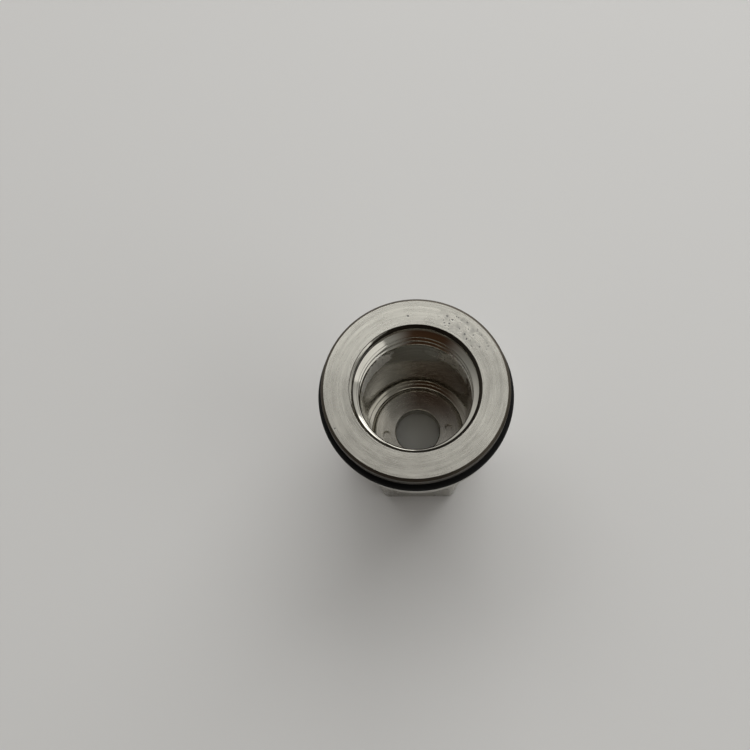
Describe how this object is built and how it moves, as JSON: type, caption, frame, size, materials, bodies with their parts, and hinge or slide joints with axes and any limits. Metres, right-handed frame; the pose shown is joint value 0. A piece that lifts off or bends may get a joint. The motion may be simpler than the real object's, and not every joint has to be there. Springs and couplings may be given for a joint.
{
  "type": "sight glass",
  "caption": "Threaded stainless sight glass: a hollow housing with a sealing ring round its open mouth, and a round glass held at the far end by a screwed disc with a central port.",
  "frame": {"origin": "centre of the flat window end, the end with the six flats, which is the lowest plane of the part", "axes": "+Z along the housing's axis from the window end to the open threaded mouth; -Y is the outward normal of one wrench flat"},
  "size_m": [0.0322, 0.0322, 0.038],
  "materials": {
    "turned_steel": "fine turned stainless steel with circular tool marks",
    "black_rubber": "smooth moulded nitrile rubber",
    "gasket": "matt white PTFE",
    "glass": "polished toughened glass",
    "washer_steel": "ground stainless steel",
    "disc_steel": "faced stainless steel with concentric tool marks"
  },
  "bodies": {
    "housing": {"housing": "turned_steel", "outer_o_ring": "black_rubber", "window_gasket": "gasket", "glass_disc": "glass", "pressure_gasket": "gasket"},
    "slip_washer": {"slip_washer": "washer_steel"},
    "retainer": {"retaining_disc": "disc_steel"}
  },
  "joints": [
    {"name": "washer_lift", "type": "slide", "parent": "housing", "child": "slip_washer", "axis": [0, 0, 1], "range_m": [0, 0.0024]},
    {"name": "retainer_turn", "type": "hinge", "parent": "slip_washer", "child": "retainer", "pos_m": [0, 0, 0.0087], "axis": [0, 0, 1], "range_deg": [0, 1152]}
  ],
  "couplings": [
    {"joint": "washer_lift", "follows": "retainer_turn", "m_per_rad": 0.00011936}
  ]
}
